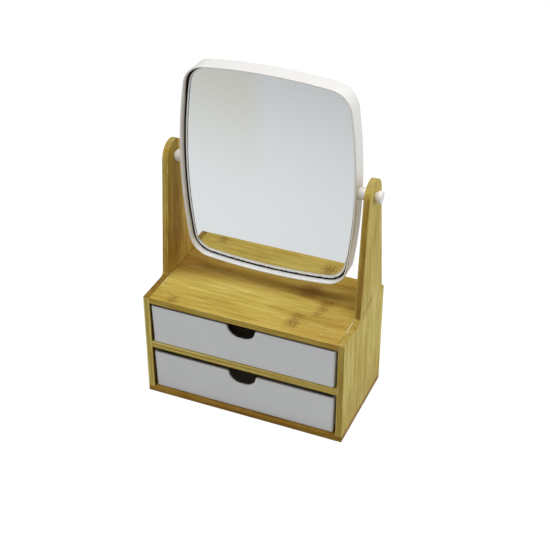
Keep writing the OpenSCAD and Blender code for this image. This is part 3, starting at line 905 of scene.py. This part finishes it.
def build_pin(node, name, material):
    """Knob, journal and tail, turned in one piece; the head's rim is well rounded."""
    low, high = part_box(node)
    direction = 1 if high.x > 0 else -1
    tip = low.x if direction > 0 else high.x
    head = TAIL_L + JOURNAL_L
    end = head + PIN_HEAD_T
    r = PIN_HEAD_ROUND
    profile = [(0, TAIL_TIP_R), (TAIL_TAPER, TAIL_R), (TAIL_L, TAIL_R), (TAIL_L, JOURNAL_R)]
    profile += [(head, JOURNAL_R), (head, BOSS_R - BREAK_REACH)]
    profile += [(head + BREAK_MIDDLE, BOSS_R - BREAK_MIDDLE), (head + BREAK_REACH, BOSS_R)]
    profile += [(end - r + x, BOSS_R - r + y) for y, x in round_corner(0, 0, r, 0, 90)]
    profile += [(end, PIN_FACE_R)]
    bm = bmesh.new()
    add_turned(bm, profile, tip, direction)
    stand_in(name, mesh_of(bm, name, PIN_SHARP), material, "frame_plastic", "mirror", node)


def build_case():
    boards = (
        ("left_side_panel", "left_panel", left_bamboo(), "bamboo_panel"),
        ("right_side_panel", "right_panel", right_bamboo(), "bamboo_panel"),
        ("base_board", "bottom_board", base_bamboo(), "bamboo_panel"),
        ("middle_shelf", "divider_board", middle_shelf_bamboo(), "bamboo_shelf"),
        ("top_shelf", "shelf_board", top_shelf_bamboo(), "bamboo_shelf"),
        ("back_panel", "back_board", back_bamboo(), "bamboo_panel"),
    )
    for node, name, material, slot in boards:
        rounded_copy(node, name, BOARD_EDGE, material, slot, "case")


def dress_hidden_nodes():
    """Nodes whose own shape is right only get their material."""
    dowel_wood = bamboo("dowel_wood", "X", 18.0, tone=0.1)
    hidden = {
        "top_shelf_dowels": dowel_wood, "middle_shelf_dowels": dowel_wood,
        "base_screws": zinc_plate(), "glass_tape": foam_tape(),
    }
    for node, material in hidden.items():
        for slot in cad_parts[node].material_slots:
            slot.material = material


def build_drawers():
    white = drawer_plastic()
    for body, name in (("upper_drawer", "upper_tray"), ("lower_drawer", "lower_tray")):
        rounded_copy(body, name, TRAY_EDGE, white, "drawer_plastic", body, 3)


def build_mirror():
    white = frame_plastic()
    build_frame(white)
    build_glass(silvered_glass())
    build_cover(white)
    build_pin("left_pivot_pin", "left_knob", white)
    build_pin("right_pivot_pin", "right_knob", white)


def floor_material():
    """Stays white to the camera and keeps the object's soft shadow.

    In mirrors the floor fades to grey towards the front, and is a little warmer at the far left."""
    g = Graph(bpy.data.materials.new("pale_floor"), bare=True)
    lit = g.node("ShaderNodeBsdfDiffuse", {"Color": FLOOR_LIT}).outputs[0]
    shadowed = g.node("ShaderNodeBsdfDiffuse", {"Color": FLOOR_SHOWN}).outputs[0]
    glow = g.node("ShaderNodeEmission", {"Strength": FLOOR_GLOW}).outputs[0]
    seen = g.node("ShaderNodeAddShader")
    g.feed(seen.inputs[0], shadowed)
    g.feed(seen.inputs[1], glow)
    away = g.reach(FADE_WAY)
    sideways = g.spread(g.axes(g.place())["X"], *LEFT_REACH, 1.0, 0.95)
    level = g.times(g.ramp(away, *FADE_REACH, 0.87, 0.5), sideways)
    warmth = g.times(g.ramp(g.reach(WARM_WAY), *WARM_ASIDE), g.ramp(away, *WARM_AWAY))
    hue = g.mix(warmth, FLOOR_COOL, FLOOR_WARM)
    mirrored = g.node("ShaderNodeEmission", {"Color": hue, "Strength": level}).outputs[0]
    g.node("ShaderNodeOutputMaterial", {"Surface": g.by_ray(lit, mirrored, seen.outputs[0])})
    return g.owner


def build_floor():
    bm = bmesh.new()
    bmesh.ops.create_grid(bm, x_segments=8, y_segments=8, size=FLOOR_HALF)
    mesh = bpy.data.meshes.new("floor")
    bm.to_mesh(mesh)
    bm.free()
    mesh.materials.append(floor_material())
    floor = add_to_scene("floor", mesh)
    floor.location.z = -FLOOR_DROP


def build_world():
    """Even light from all round. Mirrors see a grey that the far floor runs into, the camera sees white."""
    world = bpy.data.worlds.new("studio")
    bpy.context.scene.world = world
    g = Graph(world, bare=True)
    shown = []
    for strength in (WORLD_LIGHT, WORLD_MIRRORED, WORLD_SEEN):
        shown.append(g.node("ShaderNodeBackground", {"Color": WHITE, "Strength": strength}).outputs[0])
    g.node("ShaderNodeOutputWorld", {"Surface": g.by_ray(*shown)})


def build_lamp(name, towards, size, power):
    """A square soft box in a direction from the object's middle, aimed at it."""
    data = bpy.data.lights.new(name, "AREA")
    data.shape = "SQUARE"
    data.size = size
    data.energy = power
    direction = Vector(towards).normalized()
    lamp = add_to_scene(name, data)
    lamp.location = LAMP_AIM + direction * LAMP_DISTANCE
    lamp.rotation_euler = (-direction).to_track_quat("-Z", "Y").to_euler()


def build_camera():
    data = bpy.data.cameras.new("camera")
    data.sensor_width = SENSOR
    data.lens = CAMERA_LENS
    camera = add_to_scene("camera", data)
    camera.location = CAMERA_PLACE
    camera.rotation_euler = (math.radians(90 - CAMERA_DOWN), 0, math.radians(CAMERA_LEFT))
    bpy.context.scene.camera = camera


build_case()
dress_hidden_nodes()
build_drawers()
build_mirror()
build_floor()
build_world()
for lamp in LAMPS:
    build_lamp(*lamp)
build_camera()
bpy.context.scene.view_settings.view_transform = "Standard"
